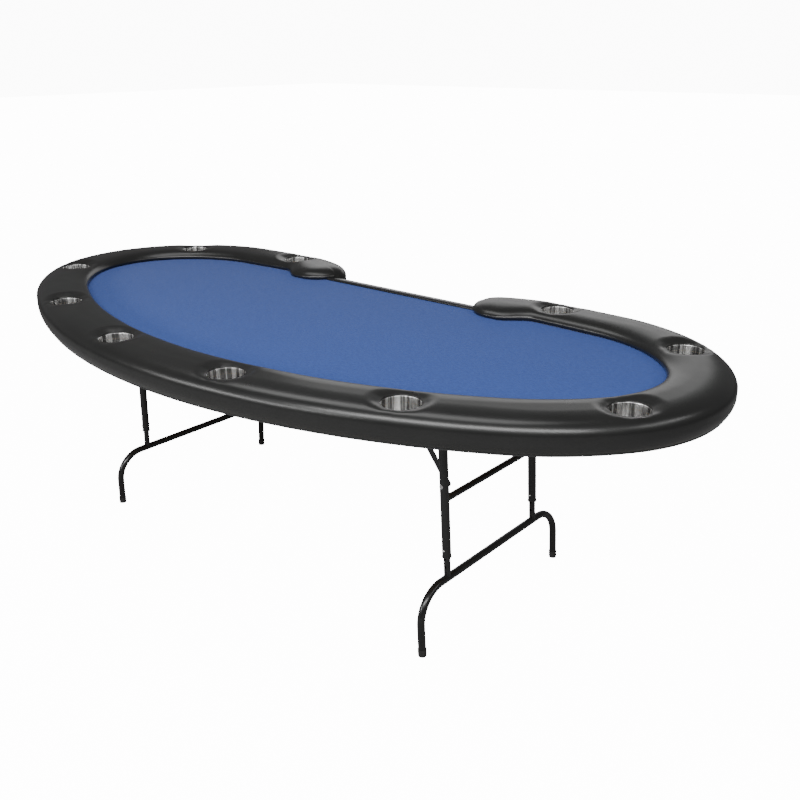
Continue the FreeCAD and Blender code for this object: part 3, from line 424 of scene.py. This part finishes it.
def mix_colour(tree, factor, dark, light):
    """A colour between two, each given as red, green and blue or as another node's output."""
    node = tree.nodes.new("ShaderNodeMix")
    node.data_type = "RGBA"
    link(tree, factor, node.inputs["Factor"])
    for socket, value in ((node.inputs[6], dark), (node.inputs[7], light)):
        if hasattr(value, "node"):
            link(tree, value, socket)
        else:
            socket.default_value = (*value, 1)
    return node.outputs[2]


tone, tone_in, tone_out = pattern_group(
    "slow_tone", [("Vector", "NodeSocketVector", None), ("Scale", "NodeSocketFloat", 6.0),
                  ("Low", "NodeSocketFloat", 0.3), ("High", "NodeSocketFloat", 0.5)],
    [("Value", "NodeSocketFloat")])
slow = noise_node(tone, tone_in.outputs["Vector"], tone_in.outputs["Scale"], 4.0, 0.55)
spread = math_node(tone, "SUBTRACT", tone_in.outputs["High"], tone_in.outputs["Low"])
link(tone, math_node(tone, "ADD", math_node(tone, "MULTIPLY", slow, spread), tone_in.outputs["Low"]),
     tone_out.inputs["Value"])


def slow_tone(tree, vector, scale, lowest, highest):
    """Place the slow change of tone in a material, between two values."""
    node = tree.nodes.new("ShaderNodeGroup")
    node.node_tree = tone
    link(tree, vector, node.inputs["Vector"])
    node.inputs["Scale"].default_value = scale
    node.inputs["Low"].default_value = lowest
    node.inputs["High"].default_value = highest
    return node.outputs["Value"]


grain, grain_in, grain_out = pattern_group(
    "hide_grain", [("Vector", "NodeSocketVector", None), ("Scale", "NodeSocketFloat", 900.0)],
    [("Height", "NodeSocketFloat")])
cells = grain.nodes.new("ShaderNodeTexVoronoi")
cells.feature = "SMOOTH_F1"
link(grain, grain_in.outputs["Vector"], cells.inputs["Vector"])
link(grain, grain_in.outputs["Scale"], cells.inputs["Scale"])
pores = noise_node(grain, grain_in.outputs["Vector"], grain_in.outputs["Scale"], 4.0, 0.6)
link(grain, math_node(grain, "ADD", cells.outputs["Distance"], math_node(grain, "MULTIPLY", pores, 0.6)),
     grain_out.inputs["Height"])


def hide_grain(tree, vector, scale):
    """Place the pebbled grain of vinyl in a material, as a height."""
    node = tree.nodes.new("ShaderNodeGroup")
    node.node_tree = grain
    link(tree, vector, node.inputs["Vector"])
    node.inputs["Scale"].default_value = scale
    return node.outputs["Height"]


def add_bump(tree, shader, height, distance, strength=1.0):
    """Tilt a shader's normal by a height, this many metres deep."""
    node = tree.nodes.new("ShaderNodeBump")
    node.inputs["Strength"].default_value = strength
    node.inputs["Distance"].default_value = distance
    link(tree, height, node.inputs["Height"])
    link(tree, node.outputs["Normal"], shader.inputs["Normal"])


def finish_with(material, *targets):
    """Give a material to new pieces and to CAD nodes, in every slot they have."""
    for target in targets:
        target = nodes[target] if isinstance(target, str) else target
        if not target.data.materials:
            target.data.materials.append(material)
        for number in range(len(target.material_slots)):
            target.material_slots[number].material = material


vinyl, tree, shader, place = plain_material("rail_vinyl")
shade = slow_tone(tree, place, 9.0, 0.0, 1.0)
black = mix_colour(tree, shade, (0.008, 0.008, 0.008), (0.013, 0.013, 0.0125))
link(tree, black, shader.inputs["Base Color"])
link(tree, slow_tone(tree, place, 14.0, 0.25, 0.34), shader.inputs["Roughness"])
add_bump(tree, shader, hide_grain(tree, place, 850.0), 0.00005, 0.3)
finish_with(vinyl, rail)
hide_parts("rail_cover", "rail_foam")
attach(rail, "table_top")

# ---------------------------------------------------------------- playing cloth
# One cut of woven blue speed cloth, stretched over thin foam; its edge goes under the rail's lip
# and under the dealer's edge roll.

CLOTH_TOP, CLOTH_THICK = 0.739, 0.0009
CLOTH_INSET, CLOTH_EDGE_Y = 0.160, 0.4477
ACROSS, DOWN, EDGE_STEP, END_TRIM = 281, 91, 0.004, 0.0004
cloth_angles = oval_stations(TURNS[0], TURNS[5], EDGE_STEP, CLOTH_INSET)
cloth_edge = on_oval(cloth_angles, CLOTH_INSET)
widest_at = cloth_edge[:, 0].argmax()
half_length = cloth_edge[widest_at, 0] - END_TRIM
x_line = half_length * np.sin(np.linspace(-np.pi / 2, np.pi / 2, ACROSS))
y_near = np.interp(np.abs(x_line), cloth_edge[:widest_at + 1, 0], cloth_edge[:widest_at + 1, 1])
y_far = np.interp(np.abs(x_line), cloth_edge[widest_at:, 0][::-1], cloth_edge[widest_at:, 1][::-1])
y_far = np.minimum(y_far, CLOTH_EDGE_Y)
# straight rows from the near edge to the far edge, at v from 0 to 1
v = np.linspace(0, 1, DOWN)[None]
cloth_y = y_near[:, None] * (1 - v) + y_far[:, None] * v
cloth_points = np.stack([x_line[:, None] + 0 * v, cloth_y, np.full(cloth_y.shape, CLOTH_TOP)], -1)
cloth = add_piece("cloth", cloth_points, grid_faces(ACROSS, DOWN))
thick = cloth.modifiers.new("thickness", "SOLIDIFY")
thick.thickness = CLOTH_THICK
thick.offset = -1

cloth_material, tree, shader, place = plain_material("speed_cloth")
threads = tree.nodes.new("ShaderNodeMapping")
threads.inputs["Scale"].default_value = (1.0, 2.6, 1.0)
link(tree, place, threads.inputs["Vector"])
slub = noise_node(tree, threads.outputs["Vector"], 95.0, 5.0, 0.7)
cloudy = noise_node(tree, place, 3.5, 2.0, 0.5)
base = mix_colour(tree, cloudy, (0.017, 0.051, 0.235), (0.020, 0.058, 0.260))
slub_range = tree.nodes.new("ShaderNodeMapRange")
link(tree, slub, slub_range.inputs["Value"])
slub_range.inputs["From Min"].default_value = 0.38
slub_range.inputs["From Max"].default_value = 0.68
blue = mix_colour(tree, slub_range.outputs["Result"], base, (0.032, 0.082, 0.325))
link(tree, blue, shader.inputs["Base Color"])
shader.inputs["Roughness"].default_value = 0.86
shader.inputs["Sheen Weight"].default_value = 0.1
shader.inputs["Sheen Roughness"].default_value = 0.4
shader.inputs["Specular IOR Level"].default_value = 0.25
weave_height = []
for direction in ("X", "Y"):
    wave_node = tree.nodes.new("ShaderNodeTexWave")
    wave_node.bands_direction = direction
    wave_node.inputs["Scale"].default_value = 330.0
    wave_node.inputs["Distortion"].default_value = 0.6
    wave_node.inputs["Detail"].default_value = 1.0
    link(tree, place, wave_node.inputs["Vector"])
    weave_height.append(wave_node.outputs["Fac"])
woven = math_node(tree, "MULTIPLY", weave_height[0], weave_height[1])
add_bump(tree, shader, math_node(tree, "ADD", woven, slub), 0.00012, 0.6)
finish_with(cloth_material, cloth)
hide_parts("playing_cloth")
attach(cloth, "table_top")

# ---------------------------------------------------------------- dealer's edge roll
# A firm roll of glossy black vinyl that laps onto the cloth and wraps the board's straight edge.

ROLL_HALF, WRAP_HALF = 0.345, 0.3074
ROLL_FRONT, ROLL_BACK, ROLL_INSIDE = 0.4199, 0.4567, 0.4486
ROLL_TOP, LAP, LAP_EDGE, ROLL_FULLNESS = 0.747, 0.7392, 0.0006, 0.62
WRAP_LOW, TUCK_LOW, WRAP_GAP = 0.6845, 0.7362, 0.001
x_roll = np.concatenate([np.linspace(-ROLL_HALF, -WRAP_HALF - WRAP_GAP, 8),
                         np.linspace(-WRAP_HALF, WRAP_HALF, 61),
                         np.linspace(WRAP_HALF + WRAP_GAP, ROLL_HALF, 8)])
# over the top the roll is a flattened half turn: cosine in y, a power of the sine in z
around = np.linspace(0, np.pi, 15)
roll_y = (ROLL_FRONT + ROLL_BACK) / 2 - (ROLL_BACK - ROLL_FRONT) / 2 * np.cos(around)
roll_z = LAP + LAP_EDGE + (ROLL_TOP - LAP - LAP_EDGE) * np.sin(around) ** ROLL_FULLNESS
drop = np.where(np.abs(x_roll) <= WRAP_HALF, WRAP_LOW, TUCK_LOW)
# then down the board's edge and back up inside: (y, share of the way down)
down = [(ROLL_BACK, 0.35), (ROLL_BACK, 0.7), (ROLL_BACK - 0.0005, 0.97), (ROLL_BACK - 0.002, 1.0),
        (ROLL_INSIDE + 0.001, 1.0), (ROLL_INSIDE, 0.97), (ROLL_INSIDE, 0.0), (ROLL_FRONT + 0.001, 0.0)]
line_y = np.concatenate([roll_y, [y for y, share in down]])
heights = [np.full(len(x_roll), z) for z in roll_z] + [LAP + (drop - LAP) * share for y, share in down]
heights = np.stack(heights, 1)
rows, columns = heights.shape
profile = np.stack([np.repeat(x_roll[:, None], columns, 1), np.repeat(line_y[None], rows, 0), heights], -1)
roll_faces = grid_faces(rows, columns, wrap_columns=True).tolist()
end_caps = [list(range(columns)), list(range((rows - 1) * columns, rows * columns))[::-1]]
roll_faces += end_caps
roll = add_piece("dealer_edge_roll", profile, roll_faces)
weld(roll)
edge_vinyl, tree, shader, place = plain_material("edge_vinyl")
shader.inputs["Base Color"].default_value = (0.010, 0.010, 0.011, 1)
link(tree, slow_tone(tree, place, 20.0, 0.16, 0.26), shader.inputs["Roughness"])
add_bump(tree, shader, hide_grain(tree, place, 700.0), 0.00004, 0.3)
finish_with(edge_vinyl, roll)
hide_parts("dealer_edge_trim")
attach(roll, "table_top")

# ---------------------------------------------------------------- cup holders
# Ten cups drawn from thin stainless sheet: a narrow rolled flange, a straight wall with faint
# draw lines in its bump and painted reflection bands in its colour, a rounded foot and a flat bottom with one
# pressed ring.

RIM, BORE, FLANGE, DEPTH, WALL = 0.7616, 0.0480, 0.0525, 0.0640, 0.0010


def cup_profile():
    """Radius and height of the sheet's upper face from the bottom's centre to the flange's edge,
    then back along its lower face: straight runs joined by quarter circles."""
    inside_floor = RIM - DEPTH + WALL
    quarter = np.linspace(0, np.pi / 2, 7)
    ring_r = np.linspace(0.018, 0.024, 9)
    pressed = inside_floor + 0.0008 * np.sin(np.pi * (ring_r - 0.018) / 0.006)
    foot_r = BORE - 0.0072 + 0.006 * np.sin(quarter)
    foot_z = inside_floor + 0.006 * (1 - np.cos(quarter))
    lip = 0.0016
    lip_r = BORE + lip * (1 - np.cos(quarter))
    lip_z = RIM - lip + lip * np.sin(quarter)
    edge_turn = np.linspace(np.pi / 2, -np.pi / 2, 7)
    edge_r = FLANGE - 0.0006 + 0.0006 * np.cos(edge_turn)
    edge_z = RIM - 0.0006 + 0.0006 * np.sin(edge_turn)
    wall_z = np.linspace(foot_z[-1], lip_z[0], 10)[1:-1]
    wall_r = np.interp(wall_z, [foot_z[-1], lip_z[0]], [foot_r[-1], BORE])
    upper_r = np.concatenate([[0.0], ring_r, foot_r, wall_r, lip_r, edge_r])
    upper_z = np.concatenate([[inside_floor], pressed, foot_z, wall_z, lip_z, edge_z])
    lower_r = [BORE + WALL, BORE + WALL, BORE - 0.001, BORE - 0.006, 0.0]
    lower_z = [RIM - 0.0022, RIM - DEPTH + 0.007, RIM - DEPTH + 0.0015, RIM - DEPTH, RIM - DEPTH]
    return np.concatenate([upper_r, lower_r]), np.concatenate([upper_z, lower_z])


steel, tree, shader, place = plain_material("cup_steel")
uv = tree.nodes.new("ShaderNodeUVMap")
uv.uv_map = "round_and_up"
draw_lines_and_reflections = noise_node(tree, uv.outputs["UV"], 3.4, 4.0, 0.6)
painted_reflection_range = tree.nodes.new("ShaderNodeMapRange")
link(tree, draw_lines_and_reflections, painted_reflection_range.inputs["Value"])
painted_reflection_range.inputs["From Min"].default_value = 0.43
painted_reflection_range.inputs["From Max"].default_value = 0.56
# painted reflection: the light bands in the steel's base colour stand for bright reflections on the wall and
# the dark bands for dark reflections
painted_reflection_bands = mix_colour(tree, painted_reflection_range.outputs["Result"], (0.20, 0.20, 0.20), (1.0, 1.0, 0.99))
link(tree, painted_reflection_bands, shader.inputs["Base Color"])
shader.inputs["Metallic"].default_value = 1.0
link(tree, slow_tone(tree, place, 40.0, 0.26, 0.36), shader.inputs["Roughness"])
add_bump(tree, shader, draw_lines_and_reflections, 0.0008, 0.4)

CUP_SIDES, STREAK_SHIFT = 96, 3
cup_r, cup_z = cup_profile()
turns = np.linspace(0, 2 * np.pi, CUP_SIDES, endpoint=False)
for number, cup in enumerate(cups, start=1):
    points = np.stack([cup[0] + cup_r[None] * np.cos(turns)[:, None],
                       cup[1] + cup_r[None] * np.sin(turns)[:, None],
                       np.tile(cup_z, (CUP_SIDES, 1))], -1)
    holder = add_piece("cup_%02d" % number, points, grid_faces(CUP_SIDES, len(cup_r), wrap_rows=True))
    weld(holder)
    layer = holder.data.uv_layers.new(name="round_and_up")
    corner = np.zeros(len(holder.data.loops), np.int32)
    holder.data.loops.foreach_get("vertex_index", corner)
    spot = np.zeros(len(holder.data.vertices) * 3)
    holder.data.vertices.foreach_get("co", spot)
    spot = spot.reshape(-1, 3)[corner]
    bearing = np.arctan2(spot[:, 1] - cup[1], spot[:, 0] - cup[0])
    # the draw lines and the painted reflection bands read the bearing's cosine and sine, so they close round
    # the cup without a seam
    coords = np.stack([np.cos(bearing) + STREAK_SHIFT * number, np.sin(bearing)], -1)
    layer.data.foreach_set("uv", coords.ravel())
    finish_with(steel, holder)
    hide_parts("cup_holder_%02d" % number)
    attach(holder, "table_top")

# ---------------------------------------------------------------- board, foam and aprons
# Birch plywood board and rail base, pale foam under the cloth and a black painted strip below.

ply, tree, shader, place = plain_material("birch_plywood")
stretch = tree.nodes.new("ShaderNodeMapping")
stretch.inputs["Scale"].default_value = (1.0, 14.0, 60.0)
link(tree, place, stretch.inputs["Vector"])
figure = noise_node(tree, stretch.outputs["Vector"], 3.0, 6.0, 0.6)
birch = mix_colour(tree, figure, (0.42, 0.28, 0.15), (0.66, 0.50, 0.31))
link(tree, birch, shader.inputs["Base Color"])
shader.inputs["Roughness"].default_value = 0.7
add_bump(tree, shader, figure, 0.0002, 0.5)
finish_with(ply, "table_board", "rail_base", "right_spacer_blocks")

foam, tree, shader, place = plain_material("underlay_foam")
shader.inputs["Base Color"].default_value = (0.70, 0.68, 0.60, 1)
shader.inputs["Roughness"].default_value = 0.95
add_bump(tree, shader, noise_node(tree, place, 900.0), 0.0004)
finish_with(foam, "cloth_underlay")

painted, tree, shader, place = plain_material("apron_paint")
shade = slow_tone(tree, place, 12.0, 0.0, 1.0)
link(tree, mix_colour(tree, shade, (0.012, 0.012, 0.012), (0.022, 0.022, 0.022)), shader.inputs["Base Color"])
shader.inputs["Roughness"].default_value = 0.5
add_bump(tree, shader, noise_node(tree, place, 160.0, 5.0), 0.0002, 0.5)
finish_with(painted, "edge_apron", "dealer_apron")

# ---------------------------------------------------------------- leg frames and feet
# Welded steel tube with a gloss black powder coat, plastic bushings, rubber caps, plated fasteners.

enamel, tree, shader, place = plain_material("leg_enamel")
shade = slow_tone(tree, place, 25.0, 0.0, 1.0)
link(tree, mix_colour(tree, shade, (0.005, 0.005, 0.005), (0.009, 0.009, 0.009)), shader.inputs["Base Color"])
link(tree, slow_tone(tree, place, 30.0, 0.16, 0.32), shader.inputs["Roughness"])
add_bump(tree, shader, noise_node(tree, place, 420.0, 2.0), 0.00006, 0.6)

plastic, tree, shader, place = plain_material("bushing_plastic")
shader.inputs["Base Color"].default_value = (0.012, 0.012, 0.012, 1)
link(tree, slow_tone(tree, place, 60.0, 0.38, 0.55), shader.inputs["Roughness"])
add_bump(tree, shader, noise_node(tree, place, 1500.0), 0.00005, 0.5)

rubber, tree, shader, place = plain_material("cap_rubber")
shade = slow_tone(tree, place, 50.0, 0.0, 1.0)
link(tree, mix_colour(tree, shade, (0.010, 0.010, 0.010), (0.020, 0.020, 0.019)), shader.inputs["Base Color"])
link(tree, slow_tone(tree, place, 80.0, 0.55, 0.75), shader.inputs["Roughness"])
add_bump(tree, shader, noise_node(tree, place, 1100.0, 4.0), 0.0001, 0.6)

plated, tree, shader, place = plain_material("zinc_plate")
shade = slow_tone(tree, place, 120.0, 0.0, 1.0)
link(tree, mix_colour(tree, shade, (0.42, 0.42, 0.41), (0.62, 0.62, 0.63)), shader.inputs["Base Color"])
shader.inputs["Metallic"].default_value = 1.0
link(tree, slow_tone(tree, place, 160.0, 0.28, 0.45), shader.inputs["Roughness"])
add_bump(tree, shader, noise_node(tree, place, 900.0), 0.00004, 0.5)

for name in nodes:
    if name.endswith(("_post", "_pivot_tube", "_crossbar", "_foot_bar", "_height_tube", "_brackets",
                      "_lower_stays", "_upper_stays")):
        finish_with(enamel, name)
    elif name.endswith("_bushings"):
        finish_with(plastic, name)
    elif name.endswith("_foot_caps"):
        finish_with(rubber, name)
    elif name.endswith(("_rivets", "_button", "_screws", "_bolts")):
        finish_with(plated, name)
